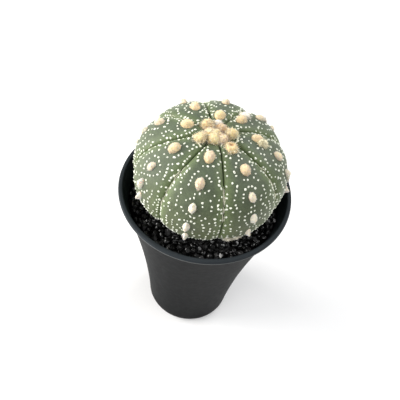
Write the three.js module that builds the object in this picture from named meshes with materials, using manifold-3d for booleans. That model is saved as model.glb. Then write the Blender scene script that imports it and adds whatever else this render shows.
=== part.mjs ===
// A star cactus in a tall round plastic pot, topped with black gravel.
// Millimetres, +Z up. The pot's axis is the z axis and it stands on z = 0.
// The plant faces -Y: angles are counted from +X towards +Y, in degrees where a name says so.

import * as THREE from 'three';
import { mergeVertices } from 'three/addons/utils/BufferGeometryUtils.js';
import Module from 'manifold-3d';

const wasm = await Module();
wasm.setup();

// Clear space between neighbouring pieces.
const GAP = 0.3;

// Pot: the outer wall's radius is WALL_RADIUS - WALL_TAPER * depth + WALL_FLARE * depth^2 below the rim.
const POT_HEIGHT = 115;
const RIM_RADIUS = 47.5;
const LIP_HEIGHT = 2.0;
const LIP_ROUND = 0.5;
const WALL_RADIUS = 46.1;
const WALL_TAPER = 0.262;
const WALL_FLARE = 0.00085;
const WALL_THICKNESS = 1.1;
const BASE_THICKNESS = 1.6;
const BASE_RECESS_RADIUS = 19;
const BASE_RECESS_DEPTH = 1.4;
const BASE_CHAMFER = 0.8;
const DRAIN_RADIUS = 3;
const DRAIN_CIRCLE = 12;
const DRAIN_COUNT = 6;
const DRAIN_SIDES = 10;
const POT_SIDES = 48;

// Plant: a superellipse of revolution, cut by eight grooves. Heights are above the pot's rim.
const BODY_OFFSET = new THREE.Vector2(0.4, 1.2);
const BODY_RADIUS = 40.3;
const BODY_HALF_HEIGHT = 27;
const BODY_MIDDLE = 14.4;
const BODY_SQUARENESS = 2.23;
const CROWN_DIP = 2.2;
const CROWN_DIP_RADIUS = 7;
const GROOVE_DEGREES = [193, 237, 285, 334, 382, 424, 467, 512];
const GROOVE_DEPTH = 1.9;
const GROOVE_SHARPNESS = 6;
const GROOVE_START = 2;
const GROOVE_RISE = 8;
const GROOVE_END_RUN = 28;
const CROWN_TWIST_DEGREES = 8;
const TWIST_REACH = 14;
const RIB_STEPS = [-1, -0.86, -0.6, -0.3, 0, 0.3, 0.6, 0.86];
const BODY_RINGS = 17;

// Areoles: one row on each rib. The first ones are given as [distance along the skin from the top,
// place across the rib], and the others follow them down to the gravel, in shorter and shorter steps.
// Near the top they are round cushions; with age they turn smaller, paler and pointed.
const FIRST_AREOLES = [
  [[9.1, -0.1], [22.2, -0.21], [36.1, -0.04], [46.7, 0.03], [55.2, 0.11]],
  [[15.3, 0.04], [29.1, 0.02], [41, 0.02], [52.6, -0.03], [60.7, -0.02]],
  [[11.1, 0.17], [23.9, 0.11], [37, -0.05], [48.2, -0.09], [57.9, -0.18]],
  [[7.8, 0.23], [20.6, 0.34], [33.8, 0.04], [44.5, -0.12], [56.8, -0.15]],
  [[17.3, 0.18], [32.5, 0.18], [43.5, -0.1]],
  [[12.7, 0], [29.3, -0.04]],
  [[7.7, -0.15], [22.6, -0.25], [36, -0.19]],
  [[15.4, -0.38], [31.2, -0.36], [41.5, -0.18]],
];
const AREOLE_STEP_TOP = 14.5;
const AREOLE_STEP_LOW = 8.3;
const AREOLE_STEP_REACH = 60;
const YOUNG_AREOLE = { distance: 10, width: 6.1, height: 3.1 };
const OLD_AREOLE = { distance: 60, width: 3.8, height: 2.9 };
const AREOLE_LENGTH_PER_WIDTH = 1.2;
const AREOLE_SINK_PER_HEIGHT = 0.2;
const AREOLE_POINT = 0.6;
const AREOLE_SIDES = 7;
const AREOLE_BANDS = 4;
const LOWEST_AREOLE_ABOVE_GRAVEL = 5;

// Crown wool: the youngest areoles, which touch. [distance from the top, degrees, width] of each tuft.
const CROWN_WOOL_REACH = 10;
const CROWN_TUFTS = [
  [0.5, 200, 7.4],
  [5.2, 270, 6.6],
  [5.0, 55, 6.0],
  [6.2, 92, 4.8],
  [4.4, 335, 6.6],
  [4.5, 165, 6.2],
  [5.2, 232, 6.4],
  [9.0, 215, 6.6],
  [8.0, 5, 5.8],
  [8.2, 135, 6.2],
];
const CROWN_TUFT_LIFT_PER_WIDTH = 0.15;
const CROWN_SEAT_DISTANCES = [16, 12, 9, 6, 3];
const CROWN_SEAT_SIDES = 14;

// Flecks: small tufts on rings around each areole.
const FLECK_RADIUS = 0.6;
const FLECK_HEIGHT = 0.5;
const FLECK_SINK = 0.4;
const FLECK_SPACING = 6;
const FLECK_RINGS = [5.2, 9.2, 13.2, 17.6];
const FLECK_SIDES = 3;
const FLECK_EDGE = 0.9;
const FLECK_JITTER = 0.2;
const FIRST_FLECK = 12;
const LOWEST_FLECK_ABOVE_GRAVEL = 2.5;

// Root, gravel and potting mix.
const ROOT_RADIUS = 6.5;
const ROOT_TIP_RADIUS = 2;
const ROOT_LENGTH = 42;
const ROOT_SIDES = 10;
const GRAVEL_DEPTH = 9.6;
const GRAVEL_LAYER = 6;
const GRAVEL_BED_BELOW_TOP = 1.2;
const GRAVEL_HEADROOM = 4;
const STONE_COUNT = 120;
const STONE_RADIUS = 3.3;
const STONE_INNER = 20;
const STONE_TILT = 0.6;
const STONE_BREADTH = [0.8, 1];
const STONE_THICKNESS = [0.65, 0.85];
const STONE_LIFT = [-0.3, 0.5];
const SOIL_SIDES = 40;

const GOLDEN_ANGLE = Math.PI * (3 - Math.sqrt(5));
const TURN = 2 * Math.PI;
const MERGE_DISTANCE = 1e-4;
const MERIDIAN_SAMPLES = 400;
const { clamp, lerp, smoothstep, DEG2RAD } = THREE.MathUtils;

// Seeded random numbers from 0 to 1, and between two values.
function seededRandom(seed) {
  let state = seed;
  return () => {
    state = (state + 0x6d2b79f5) | 0;
    let mixed = Math.imul(state ^ (state >>> 15), 1 | state);
    mixed = (mixed + Math.imul(mixed ^ (mixed >>> 7), 61 | mixed)) ^ mixed;
    return ((mixed ^ (mixed >>> 14)) >>> 0) / 2 ** 32;
  };
}

const between = (random, low, high) => low + (high - low) * random();

// A closed geometry as a solid that can be joined and cut.
function toSolid(geometry) {
  geometry.deleteAttribute('normal');
  geometry.deleteAttribute('uv');
  const merged = mergeVertices(geometry, MERGE_DISTANCE);
  const corners = merged.index.array;
  const kept = [];
  for (let i = 0; i < corners.length; i += 3) {
    const [a, b, c] = corners.slice(i, i + 3);
    if (a !== b && b !== c && c !== a) kept.push(a, b, c);
  }
  const mesh = new wasm.Mesh({
    numProp: 3,
    vertProperties: new Float32Array(merged.attributes.position.array),
    triVerts: new Uint32Array(kept),
  });
  return new wasm.Manifold(mesh);
}

function toGeometry(solid) {
  const mesh = solid.getMesh();
  const geometry = new THREE.BufferGeometry();
  geometry.setAttribute('position', new THREE.BufferAttribute(new Float32Array(mesh.vertProperties), 3));
  geometry.setIndex(Array.from(mesh.triVerts));
  geometry.computeVertexNormals();
  return geometry;
}

// A solid of revolution about the z axis from [radius, height] points, listed from the axis round to the axis
// with the material on the left.
function revolve(points, sides) {
  const profile = points.map(([radius, height]) => new THREE.Vector2(radius, height));
  return toSolid(new THREE.LatheGeometry(profile, sides).rotateX(Math.PI / 2));
}

// Joins solids pair by pair, so that no join is larger than it has to be.
function joined(solids) {
  if (solids.length === 1) return solids[0];
  const middle = solids.length >> 1;
  return joined(solids.slice(0, middle)).add(joined(solids.slice(middle)));
}

// The largest body of a solid: scraps that a cut leaves loose are dropped.
function largestBody(solid) {
  const bodies = solid.decompose();
  return bodies.reduce((best, body) => (body.volume() > best.volume() ? body : best));
}

// Pot.

function wallRadius(z) {
  const depth = POT_HEIGHT - z;
  return WALL_RADIUS - WALL_TAPER * depth + WALL_FLARE * depth * depth;
}

const innerRadius = (z) => wallRadius(z) - WALL_THICKNESS;
const FLOOR_TOP = BASE_RECESS_DEPTH + BASE_THICKNESS;
const WALL_HEIGHTS = [0.03, 0.2, 0.4, 0.65, 0.88].map((share) => share * POT_HEIGHT);

function buildPot() {
  const lipBottom = POT_HEIGHT - LIP_HEIGHT;
  const innerTop = innerRadius(POT_HEIGHT);
  const points = [
    [0, BASE_RECESS_DEPTH],
    [BASE_RECESS_RADIUS - BASE_CHAMFER, BASE_RECESS_DEPTH],
    [BASE_RECESS_RADIUS, 0],
    [wallRadius(0) - BASE_CHAMFER, 0],
    [wallRadius(BASE_CHAMFER), BASE_CHAMFER],
    ...WALL_HEIGHTS.slice(1).map((z) => [wallRadius(z), z]),
    [wallRadius(lipBottom), lipBottom],
    [RIM_RADIUS - LIP_ROUND, lipBottom],
    [RIM_RADIUS, lipBottom + LIP_ROUND],
    [RIM_RADIUS, POT_HEIGHT - LIP_ROUND],
    [RIM_RADIUS - LIP_ROUND, POT_HEIGHT],
    [innerTop + LIP_ROUND, POT_HEIGHT],
    [innerTop, POT_HEIGHT - LIP_ROUND],
    ...WALL_HEIGHTS.slice(1).reverse().map((z) => [innerRadius(z), z]),
    [innerRadius(FLOOR_TOP + BASE_CHAMFER), FLOOR_TOP + BASE_CHAMFER],
    [innerRadius(FLOOR_TOP) - BASE_CHAMFER, FLOOR_TOP],
    [0, FLOOR_TOP],
  ];
  let pot = revolve(points, POT_SIDES);
  for (let i = 0; i <= DRAIN_COUNT; i += 1) {
    const turn = (i / DRAIN_COUNT) * TURN;
    const reach = i < DRAIN_COUNT ? DRAIN_CIRCLE : 0;
    const drain = new THREE.CylinderGeometry(DRAIN_RADIUS, DRAIN_RADIUS, 3 * FLOOR_TOP, DRAIN_SIDES);
    drain.rotateX(Math.PI / 2).translate(reach * Math.cos(turn), reach * Math.sin(turn), 0);
    pot = pot.subtract(toSolid(drain));
  }
  return pot;
}

// Plant skin.

// The outline from the top to the underside: radius, height and outward direction by distance along the skin.
function buildMeridian() {
  const samples = [];
  let length = 0;
  for (let i = 0; i <= MERIDIAN_SAMPLES; i += 1) {
    const turn = (i / MERIDIAN_SAMPLES) * Math.PI;
    const rise = Math.sign(Math.cos(turn)) * Math.abs(Math.cos(turn)) ** (2 / BODY_SQUARENESS);
    const radius = BODY_RADIUS * Math.sin(turn) ** (2 / BODY_SQUARENESS);
    const dip = rise > 0 ? CROWN_DIP * Math.exp(-((radius / CROWN_DIP_RADIUS) ** 2)) : 0;
    const height = BODY_MIDDLE + BODY_HALF_HEIGHT * rise - dip;
    const last = samples[samples.length - 1];
    if (last) length += Math.hypot(radius - last.radius, height - last.height);
    samples.push({ radius, height, length });
  }
  return samples;
}

const MERIDIAN = buildMeridian();
const SKIN_LENGTH = MERIDIAN[MERIDIAN.length - 1].length;
const RING_STEP = SKIN_LENGTH / BODY_RINGS;

function meridianAt(distance) {
  const found = MERIDIAN.findIndex((sample) => sample.length >= distance);
  const index = Math.min(Math.max(found, 1), MERIDIAN.length - 1);
  const low = MERIDIAN[index - 1];
  const high = MERIDIAN[index];
  const step = high.length - low.length;
  const share = (distance - low.length) / step;
  return {
    radius: low.radius + share * (high.radius - low.radius),
    height: low.height + share * (high.height - low.height),
    outward: (low.height - high.height) / step,
    upward: (high.radius - low.radius) / step,
  };
}

const RIBS = GROOVE_DEGREES.map((start, index) => {
  const next = index + 1 < GROOVE_DEGREES.length ? GROOVE_DEGREES[index + 1] : GROOVE_DEGREES[0] + 360;
  const half = ((next - start) / 2) * DEG2RAD;
  return { middle: start * DEG2RAD + half, half };
});

function grooveFade(distance) {
  const rise = smoothstep(distance, GROOVE_START, GROOVE_START + GROOVE_RISE);
  const end = smoothstep(SKIN_LENGTH - distance, 0, GROOVE_END_RUN);
  return rise * end;
}

// A point of the skin: across is -1 to 1 from groove to groove, grow moves it outwards.
function skin(rib, across, distance, grow = 0) {
  const { radius, height, outward, upward } = meridianAt(distance);
  const depth = GROOVE_DEPTH * Math.abs(across) ** GROOVE_SHARPNESS * grooveFade(distance) - grow;
  const twist = CROWN_TWIST_DEGREES * DEG2RAD * Math.exp(-distance / TWIST_REACH);
  const turn = rib.middle + across * rib.half + twist;
  const reach = radius - depth * outward;
  return new THREE.Vector3(
    BODY_OFFSET.x + reach * Math.cos(turn),
    BODY_OFFSET.y + reach * Math.sin(turn),
    POT_HEIGHT + height - depth * upward,
  );
}

// The same point on the flat faces between the rings and steps that the skin is built from.
function facetPoint(rib, across, distance) {
  const ring = Math.floor(distance / RING_STEP);
  const index = RIB_STEPS.findLastIndex((step) => step <= across);
  const low = RIB_STEPS[index];
  const high = index + 1 < RIB_STEPS.length ? RIB_STEPS[index + 1] : 1;
  const down = distance / RING_STEP - ring;
  const side = (across - low) / (high - low);
  const near = skin(rib, low, ring * RING_STEP);
  const far = skin(rib, high, (ring + 1) * RING_STEP);
  const third = down > side ? skin(rib, low, (ring + 1) * RING_STEP) : skin(rib, high, ring * RING_STEP);
  const most = Math.max(down, side);
  const least = Math.min(down, side);
  return near.multiplyScalar(1 - most).addScaledVector(far, least).addScaledVector(third, most - least);
}

// The frame of a small thing that stands on the skin: x across the rib, y down the rib, z outwards.
function standing(rib, across, distance, sink = 0) {
  const small = 0.02;
  const side = skin(rib, across + small, distance).sub(skin(rib, across - small, distance));
  const down = skin(rib, across, distance + small).sub(skin(rib, across, distance - small)).normalize();
  const out = new THREE.Vector3().crossVectors(down, side).normalize();
  const origin = facetPoint(rib, across, distance).addScaledVector(out, -sink);
  side.crossVectors(down, out);
  return new THREE.Matrix4().makeBasis(side, down, out).setPosition(origin);
}

function buildSkin(grow) {
  const around = RIBS.length * RIB_STEPS.length;
  const positions = [...skin(RIBS[0], 0, 0, grow).toArray()];
  const corners = [];
  for (let ring = 1; ring < BODY_RINGS; ring += 1) {
    const distance = RING_STEP * ring;
    for (const rib of RIBS) {
      for (const step of RIB_STEPS) positions.push(...skin(rib, step, distance, grow).toArray());
    }
  }
  positions.push(...skin(RIBS[0], 0, SKIN_LENGTH, grow).toArray());
  const bottom = positions.length / 3 - 1;
  const at = (ring, index) => 1 + (ring - 1) * around + (index % around);
  for (let index = 0; index < around; index += 1) {
    corners.push(0, at(1, index), at(1, index + 1));
    for (let ring = 1; ring < BODY_RINGS - 1; ring += 1) {
      corners.push(at(ring, index), at(ring + 1, index), at(ring + 1, index + 1));
      corners.push(at(ring, index), at(ring + 1, index + 1), at(ring, index + 1));
    }
    corners.push(at(BODY_RINGS - 1, index), bottom, at(BODY_RINGS - 1, index + 1));
  }
  const geometry = new THREE.BufferGeometry();
  geometry.setAttribute('position', new THREE.BufferAttribute(new Float32Array(positions), 3));
  geometry.setIndex(corners);
  return toSolid(geometry);
}

function buildRoot(grow) {
  const top = POT_HEIGHT + BODY_MIDDLE - BODY_HALF_HEIGHT + GAP;
  const bottom = top - ROOT_LENGTH - grow;
  const radii = [ROOT_RADIUS + grow, ROOT_TIP_RADIUS + grow];
  const root = new THREE.CylinderGeometry(...radii, top - bottom, ROOT_SIDES);
  root.rotateX(Math.PI / 2).translate(BODY_OFFSET.x, BODY_OFFSET.y, (top + bottom) / 2);
  return toSolid(root);
}

// A woolly cushion: age is 0 for a round one and up to 1 for one drawn out to a tip.
function cushion(frame, width, height, age) {
  const geometry = new THREE.SphereGeometry(1, AREOLE_SIDES, AREOLE_BANDS).rotateX(Math.PI / 2);
  const length = width * AREOLE_LENGTH_PER_WIDTH;
  const position = geometry.attributes.position;
  for (let i = 0; i < position.count; i += 1) {
    const rise = Math.max(position.getZ(i), 0);
    const slim = 1 - AREOLE_POINT * age * rise;
    position.setXYZ(
      i,
      (position.getX(i) * slim * width) / 2,
      (position.getY(i) * slim * length) / 2,
      position.getZ(i) * height,
    );
  }
  return toSolid(geometry.applyMatrix4(frame));
}

function fleck(frame) {
  const geometry = new THREE.ConeGeometry(FLECK_RADIUS, FLECK_HEIGHT + FLECK_SINK, FLECK_SIDES);
  geometry.rotateX(Math.PI / 2).translate(0, 0, (FLECK_HEIGHT + FLECK_SINK) / 2);
  return toSolid(geometry.applyMatrix4(frame));
}

const aboveGravel = (distance) => meridianAt(distance).height + GRAVEL_DEPTH;

// One rib's areoles down to the gravel, as [distance, across].
function areoleRow(index) {
  const row = [...FIRST_AREOLES[index]];
  for (;;) {
    const [distance, across] = row[row.length - 1];
    const next = distance + lerp(AREOLE_STEP_TOP, AREOLE_STEP_LOW, Math.min(distance / AREOLE_STEP_REACH, 1));
    if (aboveGravel(next) < LOWEST_AREOLE_ABOVE_GRAVEL) return row;
    row.push([next, across / 2]);
  }
}

function buildAreoles() {
  const random = seededRandom(11);
  const areoles = [];
  RIBS.forEach((rib, index) => {
    for (const [distance, across] of areoleRow(index)) {
      if (distance < CROWN_WOOL_REACH) continue;
      const run = OLD_AREOLE.distance - YOUNG_AREOLE.distance;
      const age = clamp((distance - YOUNG_AREOLE.distance) / run, 0, 1);
      const width = lerp(YOUNG_AREOLE.width, OLD_AREOLE.width, age) * between(random, 0.93, 1.07);
      const height = lerp(YOUNG_AREOLE.height, OLD_AREOLE.height, age);
      const frame = standing(rib, across, distance, AREOLE_SINK_PER_HEIGHT * height);
      areoles.push(cushion(frame, width, height, age));
    }
  });
  return areoles;
}

function buildFlecks() {
  const random = seededRandom(23);
  const flecks = [];
  RIBS.forEach((rib, index) => {
    const row = areoleRow(index);
    row.forEach(([centre, shift], place) => {
      const above = place > 0 ? (row[place - 1][0] + centre) / 2 : 0;
      const below = place + 1 < row.length ? (row[place + 1][0] + centre) / 2 : SKIN_LENGTH;
      for (const ring of FLECK_RINGS) {
        const count = Math.round((TURN * ring) / FLECK_SPACING);
        for (let k = 0; k < count; k += 1) {
          const turn = ((k + between(random, -FLECK_JITTER, FLECK_JITTER)) / count) * TURN;
          const distance = centre + ring * Math.sin(turn);
          if (distance < Math.max(above, FIRST_FLECK) || distance >= below) continue;
          const across = shift + (ring * Math.cos(turn)) / (meridianAt(distance).radius * rib.half);
          const buried = aboveGravel(distance) < LOWEST_FLECK_ABOVE_GRAVEL;
          if (Math.abs(across) > FLECK_EDGE || buried) continue;
          flecks.push(fleck(standing(rib, across, distance, FLECK_SINK)));
        }
      }
    });
  });
  return flecks;
}

// The young tufts joined in one mat, cut underneath to lie on the skin.
function buildCrownWool() {
  const tufts = CROWN_TUFTS.map(([distance, degrees, width]) => {
    const { radius, height } = meridianAt(distance);
    const turn = degrees * DEG2RAD;
    const tuft = new THREE.SphereGeometry(width / 2, AREOLE_SIDES, AREOLE_BANDS).rotateX(Math.PI / 2);
    tuft.translate(
      BODY_OFFSET.x + radius * Math.cos(turn),
      BODY_OFFSET.y + radius * Math.sin(turn),
      POT_HEIGHT + height + CROWN_TUFT_LIFT_PER_WIDTH * width,
    );
    return toSolid(tuft);
  });
  const slope = CROWN_SEAT_DISTANCES.map((distance) => {
    const { radius, height, outward, upward } = meridianAt(distance);
    return [radius + GAP * outward, POT_HEIGHT + height + GAP * upward];
  });
  const below = POT_HEIGHT + BODY_MIDDLE;
  const top = POT_HEIGHT + meridianAt(0).height + GAP;
  const crown = revolve([[0, below], [slope[0][0], below], ...slope, [0, top]], CROWN_SEAT_SIDES);
  return largestBody(joined(tufts).subtract(crown.translate(BODY_OFFSET.x, BODY_OFFSET.y, 0)));
}

// Gravel and potting mix.

function buildGravel() {
  const random = seededRandom(5);
  const top = POT_HEIGHT - GRAVEL_DEPTH;
  const bottom = top - GRAVEL_LAYER;
  const wall = (z) => innerRadius(z) - GAP;
  const disc = (high) =>
    revolve([[0, bottom], [wall(bottom), bottom], [wall(high), high], [0, high]], POT_SIDES);
  const bedTop = top - GRAVEL_BED_BELOW_TOP;
  const reach = wall(top);
  const stones = [];
  for (let k = 0; k < STONE_COUNT; k += 1) {
    const share = (k + 0.5) / STONE_COUNT;
    const radius = Math.sqrt(STONE_INNER ** 2 + (reach ** 2 - STONE_INNER ** 2) * share);
    const turn = k * GOLDEN_ANGLE;
    const size = STONE_RADIUS * between(random, 0.85, 1.15);
    const stone = new THREE.OctahedronGeometry(size, 0);
    stone.scale(1, between(random, ...STONE_BREADTH), between(random, ...STONE_THICKNESS));
    stone.rotateX(between(random, -STONE_TILT, STONE_TILT)).rotateY(between(random, -STONE_TILT, STONE_TILT));
    stone.rotateZ(between(random, 0, TURN));
    const height = bedTop + between(random, ...STONE_LIFT);
    stone.translate(radius * Math.cos(turn), radius * Math.sin(turn), height);
    stones.push(toSolid(stone));
  }
  const heap = joined([disc(bedTop), ...stones]).intersect(disc(top + GRAVEL_HEADROOM));
  return largestBody(heap.subtract(buildSkin(GAP)).subtract(buildRoot(GAP)));
}

function buildPottingMix() {
  const top = POT_HEIGHT - GRAVEL_DEPTH - GRAVEL_LAYER - GAP;
  const bottom = FLOOR_TOP + GAP;
  const wall = (z) => innerRadius(z) - GAP;
  const heights = [0.2, 0.45, 0.72].map((share) => bottom + share * (top - bottom));
  const points = [
    [0, bottom],
    [wall(bottom) - BASE_CHAMFER, bottom],
    [wall(bottom + BASE_CHAMFER), bottom + BASE_CHAMFER],
    ...heights.map((z) => [wall(z), z]),
    [wall(top), top],
    [0, top],
  ];
  return revolve(points, SOIL_SIDES).subtract(buildRoot(GAP));
}

// The whole object.

function named(name, solid, colour, roughness) {
  const material = new THREE.MeshStandardMaterial({ color: colour, roughness, metalness: 0 });
  const mesh = new THREE.Mesh(toGeometry(solid), material);
  mesh.name = name;
  return mesh;
}

const cactus = joined([buildSkin(0), buildRoot(0), ...buildAreoles(), ...buildFlecks()]);

const pottedCactus = new THREE.Group();
pottedCactus.name = 'potted_star_cactus';
pottedCactus.add(
  named('pot', buildPot(), 0x2c3034, 0.5),
  named('potting_mix', buildPottingMix(), 0x3b2e25, 0.95),
  named('gravel', buildGravel(), 0x17181a, 0.3),
  named('cactus_body', cactus, 0x5d7053, 0.65),
  named('crown_wool', buildCrownWool(), 0xdcc08c, 0.95),
);

export default pottedCactus;
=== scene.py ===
"""Looks of the potted star cactus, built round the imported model.

Lengths are in millimetres until a mesh is made."""

import math

import bmesh
import bpy
import numpy as np
from mathutils import Matrix, Vector


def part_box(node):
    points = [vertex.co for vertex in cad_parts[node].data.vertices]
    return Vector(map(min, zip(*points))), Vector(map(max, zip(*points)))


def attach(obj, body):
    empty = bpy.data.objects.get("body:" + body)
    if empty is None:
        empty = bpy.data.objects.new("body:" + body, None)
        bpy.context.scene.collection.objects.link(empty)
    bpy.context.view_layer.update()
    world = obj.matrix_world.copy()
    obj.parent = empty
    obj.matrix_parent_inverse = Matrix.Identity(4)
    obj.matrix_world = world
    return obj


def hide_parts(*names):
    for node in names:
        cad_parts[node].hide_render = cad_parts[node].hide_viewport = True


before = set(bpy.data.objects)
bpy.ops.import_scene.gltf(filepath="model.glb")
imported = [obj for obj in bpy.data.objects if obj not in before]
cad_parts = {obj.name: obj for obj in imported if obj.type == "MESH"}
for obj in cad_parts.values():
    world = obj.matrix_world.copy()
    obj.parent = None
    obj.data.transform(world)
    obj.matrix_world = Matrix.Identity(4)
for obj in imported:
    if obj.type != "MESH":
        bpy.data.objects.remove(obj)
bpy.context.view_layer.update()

MM = 0.001
TURN = 2 * math.pi
GOLDEN_ANGLE = math.pi * (3 - math.sqrt(5))
GAP = 0.3

# Pot. The wall's radius, taper and flare are those at the rim, see wall_radius.
POT_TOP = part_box("pot")[1].z / MM
RIM_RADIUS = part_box("pot")[1].x / MM
LIP_HEIGHT = 2.0
LIP_BEAD = 0.3
LIP_STEP = 0.75
LIP_ROUND = 0.55
INNER_ROUND = 0.4
UNDERCUT = 0.25
UNDERCUT_HEIGHTS = (0.3, 0.05)
WALL_END = 0.6
WALL_RADIUS = 46.1
WALL_TAPER = 0.262
WALL_FLARE = 0.00085
WALL_THICKNESS = 1.1
FLOOR_TOP = 3.0
FLOOR_CORNER = [(0.6, 0.3), (1.4, 0.0)]
BASE_RECESS_RADIUS = 19
BASE_RECESS_DEPTH = 1.4
BASE_CHAMFER = 0.8
DRAIN_RADIUS = 3
DRAIN_CIRCLE = 12
DRAIN_COUNT = 6
DRAIN_SIDES = 32
POT_SIDES = 160

# Plant: a superellipse of revolution, cut by eight grooves. Heights are above the pot's rim.
BODY_OFFSET = np.array([0.4, 1.2, 0])
BODY_RADIUS = 40.3
BODY_HALF_HEIGHT = 27
BODY_MIDDLE = 14.4
BODY_SQUARENESS = 2.23
CROWN_DIP = 2.2
CROWN_DIP_RADIUS = 7
GROOVE_DEGREES = [193, 237, 285, 334, 382, 424, 467, 512]
GROOVE_DEPTH = 1.9
GROOVE_SHARPNESS = 6
GROOVE_START = 2
GROOVE_RISE = 8
GROOVE_END_RUN = 28
CROWN_TWIST_DEGREES = 8
TWIST_REACH = 14
SKIN_RINGS = 150
RIB_COLUMNS = 40

# The skin's fine relief: a crease along each groove, a boss under each areole, lumps and puckers.
CREASE_DEPTH = 0.5
CREASE_WIDTH = 0.36
CREASE_AT_CROWN = 0.4
CREASE_FULL = 26
BOSS_HEIGHT = 0.45
BOSS_REACH = 4.0
LUMP_HEIGHT = 0.22
LUMP_SIZE = 9
PUCKER_HEIGHT = 0.06
PUCKER_SIZE = 1.8
LUMP_EDGE = 8
HALO_REACH = 4.6
OFF_GROOVE = 9

# Areoles: the first ones of each rib, as (distance along the skin from the top, place across).
FIRST_AREOLES = [
    [(9.1, -0.1), (22.2, -0.21), (36.1, -0.04), (46.7, 0.03), (55.2, 0.11)],
    [(15.3, 0.04), (29.1, 0.02), (41.0, 0.02), (52.6, -0.03), (60.7, -0.02)],
    [(11.1, 0.17), (23.9, 0.11), (37.0, -0.05), (48.2, -0.09), (57.9, -0.18)],
    [(7.8, 0.23), (20.6, 0.34), (33.8, 0.04), (44.5, -0.12), (56.8, -0.15)],
    [(17.3, 0.18), (32.5, 0.18), (43.5, -0.1)],
    [(12.7, 0.0), (29.3, -0.04)],
    [(7.7, -0.15), (22.6, -0.25), (36.0, -0.19)],
    [(15.4, -0.38), (31.2, -0.36), (41.5, -0.18)],
]
# The areoles below them follow at steps that shrink with the distance.
AREOLE_STEPS = [(0, 60), (14.5, 8.3)]
LAST_AREOLE = 62
CROWN_WOOL_REACH = 10

# Areole tufts: their widths, lengths and heights at these distances from the top.
AREOLE_SIZES = [
    (10, 15, 30, 37, 41, 48, 53, 58),
    (5.8, 5.3, 4.4, 3.9, 3.6, 3.9, 3.8, 3.7),
    (6.4, 6.8, 6.1, 5.2, 5.0, 6.2, 7.0, 5.3),
    (3.2, 3.2, 2.8, 2.5, 2.4, 2.7, 3.2, 3.2),
]
# An areole ages from 0 to 1 between these distances. The oldest are pointed and lean down.
AREOLE_YOUNG = 10
AREOLE_OLD = 55
OLDEST_POWER = 6
OLDEST_POINTED = 0.9
OLDEST_LEAN_DOWN = 0.45
AGE_LEAN_UP = 0.25
AREOLE_SUNK = 0.1
AREOLE_SPREAD = (0.94, 1.06)
AREOLE_BROWN = (0, 0.25)
AREOLE_BLUSH = (0, 0.3)
# By age: the number of felt hairs, the number of fringe hairs, and the length of each kind.
AREOLE_HAIRS = [(0, 1), (280, 140), (90, 24), (0.9, 0.6), (0.8, 0.6)]
# Areoles with a sunk middle, as (rib, distance), their number of fringe hairs and the lengths.
DIMPLED_AREOLES = [(2, 11.1)]
DIMPLED_HAIRS = (130, 1.0, 1.7)
DIMPLED_BROWN = 0.1
DIMPLE_DEPTH = 0.65
DIMPLE_CENTRE = np.array([-0.12, -0.22])
DIMPLE_REACH = 0.48
# Areoles with a pinkish top.
BLUSHING_AREOLES = [(1, 15.3), (1, 29.1)]

# Crown tufts: distance from the top, direction in degrees, width, height, how pale and how brown.
CROWN_TUFTS = [
    (3.7, 254, 7.2, 4.3, 0.05, 0.0),
    (3.2, 186, 6.4, 4.1, 0.15, 0.1),
    (1.4, 235, 7.6, 4.4, 0.1, 0.0),
    (9.1, 215, 5.9, 3.5, 0.0, 0.05),
    (6.8, 137, 6.1, 3.8, 0.05, 0.15),
    (4.3, 62, 5.8, 3.6, 0.2, 0.8),
    (4.4, 318, 6.0, 3.8, 0.35, 0.25),
    (7.5, 7, 6.0, 3.7, 0.0, 0.0),
]
WHITE_CROWN_TUFT = (6.6, 92, 4.2, 2.6)
CROWN_SPREAD = (0.9, 1.0)
CROWN_LEAN = 0.35
CROWN_LEAN_RADIUS = 6

# Fluff beside a few areoles: rib, distance, across, width and how cream it is.
FLUFF = [
    (3, 22.0, 0.23, 4.0, 1.0),
    (3, 24.1, 0.2, 3.8, 0.9),
    (4, 22.0, 0.42, 4.6, 0.1),
    (4, 36.0, 0.22, 4.0, 0.2),
    (3, 47.0, -0.1, 2.6, 0.3),
    (2, 62.5, -0.46, 2.4, 0.3),
    (2, 63.0, -0.72, 2.2, 0.3),
]
FLUFF_SHAPE = np.array([1, 1.1, 0.55])

# Tufts: a dome, with felt combed over it and a fringe of longer hairs round its edge.
TUFT_SECTORS = 28
TUFT_BANDS = 14
TUFT_BOTTOM = 0.7 * math.pi
TUFT_LUMP = 0.6
TUFT_FINE_LUMP = 0.24
TUFT_FINE_SHARE = 0.8
POINTED_SLIM = 0.65
FELT = {
    "heights": (-0.15, 0.98), "lift": (0.15, 0.7), "sweep": (0.2, 1.2), "upward": 0.0,
    "steps": 3, "radii": (0.08, 0.17), "shades": (0.3, 0.8),
}
FRINGE = {
    "heights": (-0.1, 0.5), "lift": (0.7, 1.3), "sweep": (-0.2, 0.5), "upward": 0.35,
    "steps": 5, "radii": (0.06, 0.11), "shades": (0.8, 1.0),
}
# The fringe counts as this near the top, which keeps the painted shade of the lower wool off it.
FRINGE_WOOL_DEPTH = 0.2
HAIR_ROOTS = 0.96
HAIR_REACH = (0.5, 1.2)
HAIR_SWIRL = 0.5
HAIR_BEND_DOWN = (-0.2, 1.0)
HAIR_BEND_ASIDE = 0.9
HAIR_BEND = 0.45
HAIR_TIP = 0.35

# Flecks: small tufts on rings around each areole. By its distance: the first ring's radius and the steps.
FLECK_RINGS = [(12, 60, 75), (5.6, 4.4, 4.0), (4.3, 3.1, 2.4)]
FLECK_RING_COUNT = 5
FLECK_RING_WAVE = 0.5
FLECK_RING_STRAY = 0.12
FLECK_RING_EDGE = 0.86
FLECK_SPACING = (1.7, 2.5)
FLECK_GAP = (2.6, 5.0)
FLECK_RUN = (2, 6)
FLECKS_APART = 1.45
FLECKS_OFF_GRAVEL = 1.0
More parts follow.
